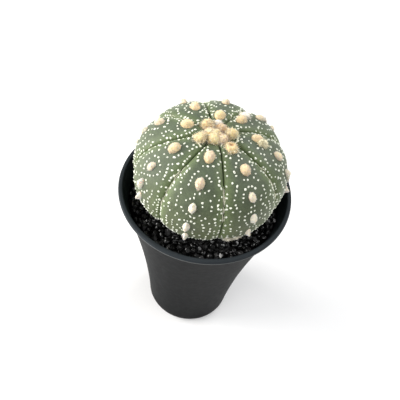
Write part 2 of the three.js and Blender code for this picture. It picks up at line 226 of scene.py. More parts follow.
# A row of them on each side of a groove: most are near it, and some steps are longer.
ROW_COUNT = 50
ROW_SPACING = (1.5, 2.0)
ROW_LONGER = 2.2
ROW_EVEN_SHARE = 0.72
ROW_STRAY_SHARE = 0.22
ROW_NEAR = (1.0, 1.5)
ROW_STRAY = (2.5, 3.2)
# A fleck's radius by its distance from the top, and its profile as (share of the radius, lift).
FLECK_RADII = [(10, 30, 55, 80), (0.48, 0.46, 0.44, 0.38)]
FLECK_SPREAD = 0.14
FLECK_EXTREMES = (0.78, 1.35)
FLECK_STRETCH = (1.0, 1.6)
FLECK_OUTLINE = (0.75, 1.25)
FLECK_WOBBLE = (0.92, 1.08)
FLECK_SIDES = 9
FLECK_PROFILE = [(1.0, -0.35), (0.98, 0.1), (0.75, 0.42), (0.35, 0.62)]
FLECK_TOP = 0.72

# Dry hairs by groove: how many, from where, to where, the thickest one's radius and the spread.
THREADS = [
    (10, 12, 60, 0.18, 0.45),
    (30, 26, 49, 0.26, 0.25),
    (34, 31, 48, 0.26, 0.2),
    (54, 26, 66, 0.32, 0.15),
    (14, 14, 60, 0.2, 0.45),
    *[(10, 12, 60, 0.18, 0.45)] * 3,
]
THREAD_THINNEST = 0.4
THREAD_LENGTH = (1.5, 4.5)
THREAD_WANDER = 0.35
THREAD_LIFT = (0.1, 0.4)

# Loose fibres at the crown, each a curl through (distance from the top, degrees, lift).
LOOSE_FIBRES = [
    [(9.2, 24, 1.8), (9.9, 14, 1.5), (10.5, 2, 0.8), (10.8, -12, 0.8), (11.1, -26, 1.3)],
    [(9.5, 20, 1.2), (10.2, 8, 1.1), (10.7, -4, 1.0), (10.9, -16, 0.7), (10.8, -30, 1.6)],
    [(11.2, 225, 0.8), (11.5, 230, 0.5), (11.7, 236, 0.4), (12.0, 242, 0.4)],
    [(6.4, 298, 0.5), (7.6, 293, 0.5), (8.9, 289, 0.3)],
]
FIBRE_STEPS = 10
FIBRES_PER_CURL = 3
FIBRE_RADIUS = 0.2
FIBRE_STRAY = 0.12
FIBRE_STRAY_TURN = 0.02

# Root.
ROOT_RADIUS = 6.5
ROOT_TIP_RADIUS = 2
ROOT_LENGTH = 42
ROOT_ROWS = 24
ROOT_SIDES = 28
ROOT_WRINKLE = 0.12
ROOT_WRINKLE_SIZE = np.array([2.5, 2.5, 1])

# Gravel: layers of grains as (depth below the top, grains, smallest radius, largest radius, fineness).
GRAVEL_DEPTH = 9.6
GRAVEL_LAYER = 6
GRAIN_LAYERS = [(1.4, 440, 1.4, 2.3, 2), (3.3, 420, 1.5, 2.1, 1)]
GRAIN_INNER = 19
GRAIN_EDGE = 0.4
GRAIN_STRAY = 0.3
GRAIN_STRAY_DEPTH = 0.28
GRAIN_STRAY_TURN = 0.02
GRAIN_OFF_WALL = 0.1
GRAIN_OFF_PLANT = 0.6
GRAIN_CUTS = 7
GRAIN_CUT_AT = (0.62, 0.88)
GRAIN_SQUASH = [(1.0, 1.25), (0.75, 0.95), (0.65, 0.9)]
BED_DEPTH = 2.4
BED_SIDES = 120

# Camera: where it looks from the rim's middle, how far away it is and how it is turned.
CAMERA_DISTANCE = 300
CAMERA_ELEVATION = 53.49
CAMERA_ROLL = 9.85
CAMERA_AIM = (-2.01, 0, -13.16)
CAMERA_LENS = 47.817
CAMERA_SENSOR = 36

# Floor and soft round lamps: name, place in metres, power in watts and colour.
FLOOR_HALF_WIDTH = 4000
LAMP_SIZE = 0.9
LAMPS = [
    ("key", (-0.91, 0.05, 0.52), 18, (1.0, 0.98, 0.95)),
    ("front", (-0.7, -0.62, 0.5), 5.0, (1, 1, 1)),
    ("right", (0.68, -0.1, 0.84), 3.0, (1, 1, 1)),
    ("back", (0.56, 0.5, 0.8), 7.5, (1, 1, 1)),
]
SKY_COLOUR = (0.97, 0.98, 1.0, 1)
SKY_STRENGTH = 0.36


# Meshes.

def grid_faces(rings, columns):
    """Triangles between rings of points that each close on themselves."""
    ring, column = np.indices((rings - 1, columns))
    a = ring * columns + column
    b = ring * columns + (column + 1) % columns
    halves = [(a, a + columns, b + columns), (a, b + columns, b)]
    return np.concatenate([np.stack(half, -1).reshape(-1, 3) for half in halves])


def fan_faces(centre, start, columns, flip=False):
    """Triangles from one point to a ring of points."""
    column = np.arange(columns)
    sides = [start + column, start + (column + 1) % columns]
    return np.stack([np.full(columns, centre), *(sides[::-1] if flip else sides)], -1)


def closed_faces(rings, columns):
    """Triangles of rings of points and the two end points that follow them."""
    count = rings * columns
    ends = [fan_faces(count, 0, columns), fan_faces(count + 1, count - columns, columns, flip=True)]
    return np.concatenate([grid_faces(rings, columns), *ends])


def polar_points(reach, turn, z):
    """Points at a reach from the z axis, a turn about it and a height."""
    return np.stack(np.broadcast_arrays(reach * np.cos(turn), reach * np.sin(turn), z), -1)


def even_turns(count):
    return np.arange(count) / count * TURN


def turned(profile, sides):
    """Rings of points (rows, sides, 3) from a profile of (radius, height) points."""
    profile = np.array(profile, float)
    return polar_points(profile[:, :1], even_turns(sides), profile[:, 1:])


def revolve(profile, sides):
    """A solid of revolution from (radius, height) points that run from axis to axis."""
    ends = [[0, 0, profile[0][1]], [0, 0, profile[-1][1]]]
    points = np.concatenate([turned(profile[1:-1], sides).reshape(-1, 3), ends])
    return points, closed_faces(len(profile) - 2, sides)[:, ::-1]


def repeated(shapes, faces):
    """Points and faces of many shapes (count, points, 3) that have the same faces."""
    shift = np.arange(len(shapes))[:, None, None] * shapes.shape[1]
    return shapes.reshape(-1, 3), (faces[None] + shift).reshape(-1, 3)


def join_parts(parts):
    """One points array and one faces array from several."""
    points, faces = zip(*parts)
    first = np.cumsum([0, *map(len, points)])
    return np.concatenate(points), np.concatenate([part + shift for part, shift in zip(faces, first)])


def add_object(name, data):
    thing = bpy.data.objects.new(name, data)
    bpy.context.scene.collection.objects.link(thing)
    return thing


def new_mesh(name, points, faces, smooth=True):
    """A mesh from points in millimetres."""
    mesh = bpy.data.meshes.new(name)
    mesh.from_pydata((points * MM).tolist(), [], faces.tolist(), shade_flat=not smooth)
    return mesh


def add_piece(name, points, faces, material, replaces, attributes=None, smooth=True):
    """A visible piece, riding on the one body."""
    mesh = new_mesh(name, points, faces, smooth)
    for key, values in (attributes or {}).items():
        mesh.attributes.new(key, "FLOAT", "POINT").data.foreach_set("value", np.asarray(values, np.float32))
    mesh.materials.append(material)
    piece = add_object(name, mesh)
    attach(piece, "root")
    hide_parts(*replaces)
    return piece


def lattice_noise(points, cell, seed):
    """Smooth noise from -1 to 1, with features about one cell across."""
    scaled = np.asarray(points, float) / cell
    base = np.floor(scaled).astype(np.int64)
    part = scaled - base
    part = part * part * (3 - 2 * part)
    total = np.zeros(len(scaled))
    for corner in np.ndindex(2, 2, 2):
        mixed = np.bitwise_xor.reduce((base + corner) * [73856093, 19349663, 83492791], 1) ^ (seed * 26543)
        mixed = ((mixed ^ (mixed >> 13)) * 1274126177) & 0xFFFFFFFF
        value = ((mixed ^ (mixed >> 16)) & 0xFFFF) / 32767.5 - 1
        total += value * np.prod(np.where(corner, part, 1 - part), axis=1)
    return total


def unit(vectors):
    return vectors / np.maximum(np.linalg.norm(vectors, axis=-1, keepdims=True), 1e-9)


def looked_up(table, value):
    """The later rows of a table, interpolated at a value of its first row."""
    return [np.interp(value, table[0], row) for row in table[1:]]


def smoothstep(value, low, high):
    share = np.clip((value - low) / (high - low), 0, 1)
    return share * share * (3 - 2 * share)


# Plant skin.

def meridian_table(steps=800):
    """Distance from the top, radius, height and outward direction along the body's plain form."""
    turn = np.linspace(0, math.pi, steps + 1)
    rise = np.sign(np.cos(turn)) * np.abs(np.cos(turn)) ** (2 / BODY_SQUARENESS)
    radius = BODY_RADIUS * np.abs(np.sin(turn)) ** (2 / BODY_SQUARENESS)
    dip = np.where(rise > 0, CROWN_DIP * np.exp(-((radius / CROWN_DIP_RADIUS) ** 2)), 0)
    height = BODY_MIDDLE + BODY_HALF_HEIGHT * rise - dip
    length = np.append(0, np.cumsum(np.hypot(np.diff(radius), np.diff(height))))
    return length, radius, height, -np.gradient(height, length), np.gradient(radius, length)


MERIDIAN = meridian_table()
SKIN_LENGTH = MERIDIAN[0][-1]
GROOVES = np.radians(GROOVE_DEGREES)
HALVES = np.diff(GROOVES, append=GROOVES[0] + TURN) / 2
MIDDLES = GROOVES + HALVES
RIB_COUNT = len(GROOVES)


def meridian_at(distance):
    """Radius, height, outward and upward direction of the plain form."""
    return looked_up(MERIDIAN, distance)


def half_width(rib, distance):
    return meridian_at(distance)[0] * HALVES[rib]


def groove_fade(distance):
    rise = smoothstep(distance, GROOVE_START, GROOVE_START + GROOVE_RISE)
    return rise * smoothstep(SKIN_LENGTH - distance, 0, GROOVE_END_RUN)


def skin(rib, across, distance, grow=0.0):
    """Points of the skin: across is -1 to 1 from groove to groove, grow moves them outwards."""
    rib, across, distance = np.broadcast_arrays(rib, across, np.asarray(distance, float))
    radius, height, outward, upward = meridian_at(distance)
    fade = groove_fade(distance)
    beside = (1 - np.abs(across)) * radius * HALVES[rib]
    full = smoothstep(distance, CROWN_WOOL_REACH, CREASE_FULL)
    deep = CREASE_DEPTH * (CREASE_AT_CROWN + (1 - CREASE_AT_CROWN) * full)
    crease = deep * np.exp(-((beside / CREASE_WIDTH) ** 2)) * fade
    depth = GROOVE_DEPTH * np.abs(across) ** GROOVE_SHARPNESS * fade + crease - grow
    twist = math.radians(CROWN_TWIST_DEGREES) * np.exp(-distance / TWIST_REACH)
    turn = MIDDLES[rib] + across * HALVES[rib] + twist
    return polar_points(radius - depth * outward, turn, POT_TOP + height - depth * upward) + BODY_OFFSET


def standing(rib, across, distance):
    """Origin, across, down and out directions of small things that stand on the skin."""
    small = 0.02
    origin = skin(rib, across, distance)
    side = skin(rib, across + small, distance) - skin(rib, across - small, distance)
    down = unit(skin(rib, across, distance + small) - skin(rib, across, distance - small))
    out = unit(np.cross(down, side))
    return origin, np.cross(down, out), down, out


def areole_rows():
    """All areoles of each rib, as rows of (distance, across)."""
    rows = []
    for first in FIRST_AREOLES:
        row = list(first)
        while True:
            distance, across = row[-1]
            distance += looked_up(AREOLE_STEPS, distance)[0]
            if distance > LAST_AREOLE:
                break
            row.append((distance, across / 2))
        rows.append(np.array(row))
    return rows


AREOLE_ROWS = areole_rows()


def nearest_areole(rib, across, distance):
    """Distance along the skin to the nearest areole of the same rib."""
    wide = half_width(rib, distance)
    best = np.full(len(distance), np.inf)
    for index, row in enumerate(AREOLE_ROWS):
        chosen = rib == index
        for centre, shift in row:
            apart = np.hypot((across[chosen] - shift) * wide[chosen], distance[chosen] - centre)
            best[chosen] = np.minimum(best[chosen], apart)
    return best


def rise_of_skin(rib, across, distance):
    """How far the skin stands above its plain form: bosses, lumps and puckers."""
    boss = BOSS_HEIGHT * np.exp(-((nearest_areole(rib, across, distance) / BOSS_REACH) ** 2))
    base = skin(rib, across, distance)
    lumps = LUMP_HEIGHT * lattice_noise(base, LUMP_SIZE, seed=3)
    puckers = PUCKER_HEIGHT * lattice_noise(base, PUCKER_SIZE, seed=4)
    return boss + (lumps + puckers) * (1 - np.abs(across) ** LUMP_EDGE)


def build_skin(material):
    step = np.linspace(-1, 1, RIB_COLUMNS + 1)[:-1]
    distances = np.linspace(0, SKIN_LENGTH, SKIN_RINGS + 1)[1:-1]
    rings, columns = len(distances), RIB_COUNT * RIB_COLUMNS
    across = np.tile(np.sin(step * math.pi / 2), rings * RIB_COUNT)
    rib = np.tile(np.repeat(np.arange(RIB_COUNT), RIB_COLUMNS), rings)
    distance = np.repeat(distances, columns)
    points = skin(rib, across, distance, rise_of_skin(rib, across, distance))
    points = np.concatenate([points, skin(0, 0.0, [0, SKIN_LENGTH])])
    beside = (1 - np.abs(across)) * half_width(rib, distance)
    halo = np.exp(-((nearest_areole(rib, across, distance) / HALO_REACH) ** 2))
    attributes = {
        # beside_groove also places the painted shade line along each groove's crease.
        "beside_groove": np.append(beside, [OFF_GROOVE] * 2),
        # down_rib also places the painted shade at the skin's top and towards its bottom.
        "down_rib": np.append(distance / SKIN_LENGTH, [0, 1]),
        "areole_near": np.append(halo, [1, 0]),
    }
    faces = closed_faces(rings, columns)
    add_piece("plant_skin", points, faces, material, ["cactus_body"], attributes)


def build_root(material):
    top = POT_TOP + BODY_MIDDLE - BODY_HALF_HEIGHT
    rows = np.linspace(0, 1, ROOT_ROWS)
    radius = ROOT_RADIUS + (ROOT_TIP_RADIUS - ROOT_RADIUS) * rows
    tip = (0, top - ROOT_LENGTH - ROOT_TIP_RADIUS / 10)
    profile = [(0, top), *zip(radius, top - rows * ROOT_LENGTH), tip]
    points, faces = revolve(profile[::-1], ROOT_SIDES)
    wrinkle = ROOT_WRINKLE * (lattice_noise(points, ROOT_WRINKLE_SIZE, seed=9) - 1)
    points[:, :2] += unit(points[:, :2]) * wrinkle[:, None]
    add_piece("taproot", points + BODY_OFFSET, faces, material, ["cactus_body"])


# Wool.

def strands(paths, radii):
    """Thin three-sided hairs along paths (count, steps, 3), each from its radius down to a point."""
    count, steps, _ = paths.shape
    ahead = unit(np.gradient(paths, axis=1))
    helper = np.where(np.abs(ahead[:, :1, 2:]) < 0.9, [0, 0, 1.0], [1.0, 0, 0])
    side = unit(np.cross(ahead, np.broadcast_to(helper, ahead.shape)))
    lift = np.cross(ahead, side)
    taper = np.linspace(1, HAIR_TIP, steps - 1)[None, :, None, None]
    angle = even_turns(3)
    around = side[:, :-1, None] * np.cos(angle)[:, None] + lift[:, :-1, None] * np.sin(angle)[:, None]
    rings = paths[:, :-1, None] + around * taper * np.asarray(radii)[:, None, None, None]
    each = np.concatenate([rings.reshape(count, -1, 3), paths[:, -1:]], 1)
    last = 3 * (steps - 1)
    faces = [grid_faces(steps - 1, 3), fan_faces(last, last - 3, 3, flip=True), [[0, 1, 2]]]
    return repeated(each, np.concatenate(faces)[:, ::-1])


def comb(random, count, kind):
    """Where hairs start on a unit dome, and which way each goes and bends."""
    rise = random.uniform(*kind["heights"], count)
    turn = random.uniform(0, TURN, count)
    start = polar_points(np.sqrt(1 - rise**2), turn, rise)
    flat = start * [1, 1, 0] + 1e-6
    downhill = unit(flat - start * np.sum(flat * start, 1, keepdims=True))
    swirl = np.cross(start, downhill)
    heading = start * random.uniform(*kind["lift"], (count, 1))
    heading += downhill * random.uniform(*kind["sweep"], (count, 1))
    heading = unit(heading + swirl * random.normal(0, HAIR_SWIRL, (count, 1)) + [0, 0, kind["upward"]])
    bend = downhill * random.uniform(*HAIR_BEND_DOWN, (count, 1))
    return start, heading, unit(bend + swirl * random.normal(0, HAIR_BEND_ASIDE, (count, 1)))


def tuft(random, size, felt, fringe, lengths, ruffle, coarse=1.0, pointed=0.0, dimple=0.0):
    """A woolly cushion at the origin, z out of the skin: points, faces and fields by point.

    Felt and fringe are numbers of hairs, with a length for each kind. Ruffle makes the cushion uneven,
    coarse the fringe thicker; pointed slims the top and dimple sinks its middle."""
    width, length, height = size
    tilt = np.linspace(0, TUFT_BOTTOM, TUFT_BANDS + 1)[1:]
    sphere = turned(np.stack([np.sin(tilt), np.cos(tilt)], -1), TUFT_SECTORS).reshape(-1, 3)
    sphere = np.concatenate([sphere, [[0, 0, 1], [0, 0, math.cos(TUFT_BOTTOM)]]])
    seed = int(random.integers(1, 9999))

    def shaped(unit_points, swell=1.0):
        slim = 1 - POINTED_SLIM * pointed * np.clip(unit_points[:, 2], 0, 1)
        sunk = 1 - dimple * np.exp(-np.sum((unit_points[:, :2] - DIMPLE_CENTRE) ** 2, 1) / DIMPLE_REACH**2)
        lumps = lattice_noise(unit_points, TUFT_LUMP, seed)
        lumps += TUFT_FINE_SHARE * lattice_noise(unit_points, TUFT_FINE_LUMP, seed + 1)
        scale = np.stack([slim * width / 2, slim * length / 2, sunk * height], -1)
        return unit_points * scale * (1 + ruffle * lumps)[:, None] * swell

    def hairs(count, reach, kind, thick):
        start, heading, bend = comb(random, count, kind)
        reach = reach * random.uniform(*HAIR_REACH, (count, 1, 1))
        along = np.linspace(0, 1, kind["steps"])[None, :, None]
        run = heading[:, None] * along + HAIR_BEND * bend[:, None] * along**2
        paths = shaped(start, HAIR_ROOTS)[:, None] + reach * run
        return strands(paths, thick * random.uniform(*kind["radii"], count))

    parts = [
        (shaped(sphere), closed_faces(TUFT_BANDS, TUFT_SECTORS)),
        hairs(felt, lengths[0], FELT, 1.0),
        hairs(fringe, lengths[1], FRINGE, coarse),
    ]
    points, faces = join_parts(parts)
    # Strand values run from 0 on the dome, which the material paints with shade, to 1 on the fringe, which
    # it paints with a light bluish sheen.
    felt_strand = np.repeat(random.uniform(*FELT["shades"], felt), len(parts[1][0]) // felt)
    fringe_strand = np.repeat(random.uniform(*FRINGE["shades"], fringe), len(parts[2][0]) // fringe)
    strand = np.concatenate([np.zeros(len(sphere)), felt_strand, fringe_strand])
    # The depth down from the cushion's top, by which the material makes the lower wool browner and darker,
    # partly as painted shade.
    depth = 1 - np.clip(points[:, 2] / height, 0, 1)
    depth[-len(fringe_strand):] = FRINGE_WOOL_DEPTH
    # Wool in a dimple counts as deep, so it gets the darker brown of the base, partly as painted shade.
    if dimple:
        away = np.hypot(*(points[:, :2] / width * 2 - DIMPLE_CENTRE).T)
        depth = np.maximum(depth, 1.05 - 0.15 * (away / DIMPLE_REACH) ** 2)
    return points, faces, {"wool_depth": depth, "wool_strand": strand}


def placed(cushion, place, **whole):
    """A tuft moved to its place (origin, side, down, out), with fields for the whole of it."""
    points, faces, fields = cushion
    fields.update({key: np.full(len(points), value) for key, value in whole.items()})
    return place[0] + points @ np.stack(place[1:]), faces, fields


def add_wool(name, tufts, material, replaces):
    """One piece from placed tufts."""
    points, faces = join_parts([each[:2] for each in tufts])
    fields = {key: np.concatenate([each[2][key] for each in tufts]) for key in tufts[0][2]}
    add_piece(name, points, faces, material, replaces, fields)


def build_areoles(material):
    random = np.random.default_rng(41)
    tufts = []
    for rib, row in enumerate(AREOLE_ROWS):
        for distance, across in row[row[:, 0] >= CROWN_WOOL_REACH]:
            age = float(np.clip((distance - AREOLE_YOUNG) / (AREOLE_OLD - AREOLE_YOUNG), 0, 1))
            oldest = age**OLDEST_POWER
            size = looked_up(AREOLE_SIZES, distance) * random.uniform(*AREOLE_SPREAD, 3)
            felt, fringe, *lengths = looked_up(AREOLE_HAIRS, age)
            shape = {"pointed": OLDEST_POINTED * oldest}
            dimpled = (rib, distance) in DIMPLED_AREOLES
            if dimpled:
                fringe, *lengths = DIMPLED_HAIRS
                shape.update(dimple=DIMPLE_DEPTH, coarse=1.6)
            cushion = tuft(random, size, int(felt), int(fringe), lengths, ruffle=0.065, **shape)
            origin, _, down, out = standing(rib, across, distance)
            lean = unit(out + (OLDEST_LEAN_DOWN * oldest - AGE_LEAN_UP * age) * down)
            down = unit(down - lean * (down @ lean))
            seat = origin - AREOLE_SUNK * size[2] * out
            brown = DIMPLED_BROWN if dimpled else random.uniform(*AREOLE_BROWN)
            blush = 1 if (rib, distance) in BLUSHING_AREOLES else random.uniform(*AREOLE_BLUSH)
            place = (seat, np.cross(down, lean), down, lean)
            tufts.append(placed(cushion, place, wool_age=age, wool_brown=brown, wool_blush=blush))
    add_wool("areole_wool", tufts, material, ["cactus_body"])


def crown_seat(distance, degrees):
    """Where a tuft of the crown stands, leaning outwards."""
    radius, height = meridian_at(distance)[:2]
    turn = math.radians(degrees)
    out = unit(polar_points(CROWN_LEAN * min(1, radius / CROWN_LEAN_RADIUS), turn, 1))
    side = polar_points(1, turn + TURN / 4, 0)
    return polar_points(radius, turn, POT_TOP + height) + BODY_OFFSET, side, np.cross(out, side), out


def build_crown(material):
    random = np.random.default_rng(43)
    tufts = []
    for distance, degrees, width, height, pale, brown in CROWN_TUFTS:
        size = np.array([width, width, height]) * random.uniform(*CROWN_SPREAD, 3)
        cushion = tuft(random, size, felt=420, fringe=170, lengths=(1.2, 1.8), ruffle=0.13, coarse=1.6)
        place = crown_seat(distance, degrees)
        tufts.append(placed(cushion, place, wool_age=pale, wool_brown=brown, wool_blush=pale))
    add_wool("crown_tufts", tufts, material, ["crown_wool"])


def build_fluff(material):
    random = np.random.default_rng(47)
    tufts = []
    for rib, distance, across, width, cream in FLUFF:
        size = width * FLUFF_SHAPE
        cushion = tuft(random, size, felt=200, fringe=100, lengths=(1.1, 1.7), ruffle=0.24, coarse=1.5)
        tufts.append(placed(cushion, standing(rib, across, distance), fluff_cream=cream))
    distance, degrees, width, height = WHITE_CROWN_TUFT
    size = (width, 0.8 * width, height)
    cushion = tuft(random, size, felt=120, fringe=60, lengths=(1.1, 1.6), ruffle=0.24)
    tufts.append(placed(cushion, crown_seat(distance, degrees), fluff_cream=0.0))
    add_wool("white_fluff", tufts, material, ["cactus_body"])


# Flecks.

def ring_turns(random, ring):
    """Directions of the flecks on one ring: runs of a few, with a wider gap after each."""
    turns, turn = [], random.uniform(0, TURN)
    end = turn + TURN
    while turn < end:
        for _ in range(random.integers(*FLECK_RUN)):
            turns.append(turn)
            turn += random.uniform(*FLECK_SPACING) / ring
        turn += (random.uniform(*FLECK_GAP) - FLECK_SPACING[0]) / ring
    return np.array(turns)


def fleck_places(random):
    """(rib, across, distance) of every fleck."""
    places = []

    def keep(rib, across, distance):
        inside = meridian_at(distance)[1] + GRAVEL_DEPTH > FLECKS_OFF_GRAVEL
        places.extend(zip(np.full(inside.sum(), rib), across[inside], distance[inside]))

    for rib, row in enumerate(AREOLE_ROWS):
        edges = [CROWN_WOOL_REACH, *(row[1:, 0] + row[:-1, 0]) / 2, SKIN_LENGTH]
        for (centre, shift), above, below in zip(row, edges[:-1], edges[1:]):
            first, step = looked_up(FLECK_RINGS, centre)
            for ring in first + step * np.arange(FLECK_RING_COUNT):
                turn = ring_turns(random, ring)
                reach = ring + FLECK_RING_WAVE * np.sin(3 * turn + random.uniform(0, TURN))
                reach += random.normal(0, FLECK_RING_STRAY, len(turn))
                distance = centre + reach * np.sin(turn)
                wide = np.maximum(half_width(rib, distance), 0.1)
                across = shift + reach * np.cos(turn) / wide
                chosen = (distance > above) & (distance < below) & (np.abs(across) < FLECK_RING_EDGE)
                keep(rib, across[chosen], distance[chosen])
        for sign in (-1, 1):
            spacing = random.uniform(*ROW_SPACING, ROW_COUNT)
            spacing += ROW_LONGER * (random.random(ROW_COUNT) > ROW_EVEN_SHARE)
            distance = CROWN_WOOL_REACH + np.cumsum(spacing)
            near = random.random(ROW_COUNT) > ROW_STRAY_SHARE
            beside = [random.uniform(*ends, ROW_COUNT) for ends in (ROW_NEAR, ROW_STRAY)]
            across = sign * (1 - np.where(near, *beside) / half_width(rib, distance))
            keep(rib, across, distance)
    return places


def thin_out(points, apart):
    """Indices of points that stay this far apart."""
    kept = []
    for index, point in enumerate(points):
        if not kept or np.linalg.norm(points[kept] - point, axis=1).min() >= apart:
            kept.append(index)
    return kept


def build_flecks(material):
    random = np.random.default_rng(53)
    places = [np.array(column) for column in zip(*fleck_places(random))]
    kept = thin_out(skin(*places), FLECKS_APART)
    rib, across, distance = [column[kept] for column in places]
    count = len(kept)
    origin, side, down, out = standing(rib, across, distance)
    origin += out * rise_of_skin(rib, across, distance)[:, None]
    turn = random.uniform(0, math.pi, (count, 1))
    side, down = side * np.cos(turn) + down * np.sin(turn), down * np.cos(turn) - side * np.sin(turn)
    spread = np.clip(random.normal(1, FLECK_SPREAD, count), *FLECK_EXTREMES)
    size = (spread * looked_up(FLECK_RADII, distance)).T
    stretch = random.uniform(*FLECK_STRETCH, (count, 1))
    outline = random.uniform(*FLECK_OUTLINE, (count, FLECK_SIDES))
    rings = []
    for share, lift in FLECK_PROFILE:
        wobble = size * share * outline * random.uniform(*FLECK_WOBBLE, (count, FLECK_SIDES))
        ring = polar_points(wobble, even_turns(FLECK_SIDES), lift * size)
        ring[..., 1] *= stretch
        rings.append(origin[:, None] + ring @ np.stack([side, down, out], 1))
    ends = [(origin + out * lift * size)[:, None] for lift in (FLECK_PROFILE[0][1], FLECK_TOP)]
    faces = closed_faces(len(FLECK_PROFILE), FLECK_SIDES)[:, ::-1]
    points, faces = repeated(np.concatenate([*rings, *ends], 1), faces)
    add_piece("flecks", points, faces, material, ["cactus_body"])


def build_threads(material):
    random = np.random.default_rng(59)
    paths, radii = [], []
    low, rise = THREAD_LIFT
    arch = np.sin(np.linspace(0, math.pi, FIBRE_STEPS))
    for rib, (count, first, last, thickest, spread) in enumerate(THREADS):
        radii.extend(random.uniform(THREAD_THINNEST * thickest, thickest, count))
        for _ in range(count):
            start = random.uniform(first, last)
            run = np.linspace(0, random.uniform(*THREAD_LENGTH), FIBRE_STEPS)
            distance = start + run * random.choice([-1, 1])
            beside = random.normal(0.5 * spread, spread)
            beside = np.abs(beside + np.cumsum(random.normal(0, THREAD_WANDER * spread, FIBRE_STEPS)))
            side = random.choice([-1, 1])
            across = side * (1 - beside / half_width(rib, distance))
            lift = low + rise * random.random() * arch
            paths.append(skin(rib if side < 0 else rib - 1, across, distance, lift))
    for places in LOOSE_FIBRES:
        at = np.linspace(0, len(places) - 1, FIBRE_STEPS)
        distance, degrees, lift = [np.interp(at, range(len(places)), row) for row in np.transpose(places)]
        for _ in range(FIBRES_PER_CURL):
            stray = np.cumsum(random.normal(0, FIBRE_STRAY, FIBRE_STEPS))
            radius, height = meridian_at(distance + stray)[:2]
            turn = np.radians(degrees) + np.cumsum(random.normal(0, FIBRE_STRAY_TURN, FIBRE_STEPS))
            paths.append(polar_points(radius, turn, POT_TOP + height + lift) + BODY_OFFSET)
            radii.append(FIBRE_RADIUS)
    points, faces = strands(np.array(paths), np.array(radii))
    add_piece("groove_threads", points, faces, material, ["cactus_body"])


# Gravel.

def wall_radius(z):
    """The pot's outer radius at a height: it tapers from the rim down, and less so the lower it is."""
    depth = POT_TOP - z
    return WALL_RADIUS - WALL_TAPER * depth + WALL_FLARE * depth**2


def inner_radius(z):
    return wall_radius(z) - WALL_THICKNESS


def body_radius_at(z):
    """The plant's radius at a height, without its grooves."""
    rise = np.clip((z - POT_TOP - BODY_MIDDLE) / BODY_HALF_HEIGHT, -1, 1)
    return BODY_RADIUS * (1 - np.abs(rise) ** BODY_SQUARENESS) ** (1 / BODY_SQUARENESS)


def icosphere(levels):
    """Points and faces of a unit sphere of even triangles."""
    sphere = bmesh.new()
    upright = Matrix.Rotation(math.atan((1 + math.sqrt(5)) / 2), 4, "Y")
    bmesh.ops.create_icosphere(sphere, subdivisions=1, radius=1, matrix=upright)
    for _ in range(levels):
        bmesh.ops.subdivide_edges(sphere, edges=sphere.edges, cuts=1, use_grid_fill=True)
        for vertex in sphere.verts:
            vertex.co.normalize()
    sphere.verts.index_update()
    points = np.array([vertex.co for vertex in sphere.verts])
    faces = np.array([[vertex.index for vertex in face.verts] for face in sphere.faces])
    sphere.free()
    return points, faces


def turned_at_random(random, shapes):
    """Shapes (count, points, 3), each with a random rotation of its own."""
    spin = unit(random.normal(size=(len(shapes), 1, 4)))
    axis = np.broadcast_to(spin[..., 1:], shapes.shape)
    return shapes + 2 * np.cross(axis, spin[..., :1] * shapes + np.cross(axis, shapes))


def chipped(random, sphere, count):
    """Unit spheres (count, points, 3) cut by random planes."""
    shape = np.repeat(sphere[None], count, 0)
    for _ in range(GRAIN_CUTS):
        normal = unit(random.normal(size=(count, 1, 3)))
        depth = random.uniform(*GRAIN_CUT_AT, (count, 1, 1))
        shape = shape - normal * np.maximum(np.sum(shape * normal, 2, keepdims=True) - depth, 0)
    return shape


def build_gravel(material):
    random = np.random.default_rng(61)
    top = POT_TOP - GRAVEL_DEPTH
    parts, shades = [], []
    for depth, grains, low, high, fineness in GRAIN_LAYERS:
        sphere, sphere_faces = icosphere(fineness)
        share = (np.arange(grains) + 0.5) / grains
        size = random.uniform(low, high, grains)
        z = top - depth + random.normal(0, GRAIN_STRAY_DEPTH, grains)
        outer = inner_radius(top - depth) - GRAIN_EDGE
        reach = np.sqrt(GRAIN_INNER**2 + (outer**2 - GRAIN_INNER**2) * share)
        reach += random.normal(0, GRAIN_STRAY, grains)
        reach = np.minimum(reach, inner_radius(z) - size - GRAIN_OFF_WALL)
        turn = np.arange(grains) * GOLDEN_ANGLE + random.normal(0, GRAIN_STRAY_TURN, grains)
        centre = polar_points(reach, turn, z)
        clear = np.hypot(*(centre - BODY_OFFSET).T[:2]) > body_radius_at(z) + GRAIN_OFF_PLANT * size
        centre, size = centre[clear], size[clear]
        grains = len(centre)
        squash = np.stack([random.uniform(*ends, grains) for ends in GRAIN_SQUASH], -1)
        raw = chipped(random, sphere, grains) * (size[:, None] * squash)[:, None]
        parts.append(repeated(centre[:, None] + turned_at_random(random, raw), sphere_faces))
        shades.append(np.repeat(random.random(grains), len(sphere)))
    points, faces = join_parts(parts)
    shade = {"grain": np.concatenate(shades)}
    add_piece("gravel_grains", points, faces, material, ["gravel"], shade, smooth=False)


def build_bed(material):
    """The lower gravel, seen as the dark between the grains."""
    top = POT_TOP - GRAVEL_DEPTH - BED_DEPTH
    bottom = POT_TOP - GRAVEL_DEPTH - GRAVEL_LAYER
    foot = POT_TOP + BODY_MIDDLE - BODY_HALF_HEIGHT - GAP
    hole = ROOT_RADIUS + 2 * GAP
    inner = [(hole, bottom), (hole, foot)]
    inner += [(max(body_radius_at(z) + GAP, hole), z) for z in np.linspace(foot + 0.2, top, 6)]
    outer = [(inner_radius(z) - GAP, z) for z in (top, bottom)]
    points = turned([*inner, *outer], BED_SIDES)
    points[: len(inner)] += BODY_OFFSET
    faces = grid_faces(len(points) + 1, BED_SIDES) % (len(points) * BED_SIDES)
    add_piece("gravel_bed", points.reshape(-1, 3), faces, material, ["gravel"])


# Pot.

def arc(centre, radius, start, end, steps):
    """Points on an arc in the profile's plane, in degrees from the outward direction."""
    angles = np.radians(np.linspace(start, end, steps))
    return [(centre[0] + radius * math.cos(a), centre[1] + radius * math.sin(a)) for a in angles]


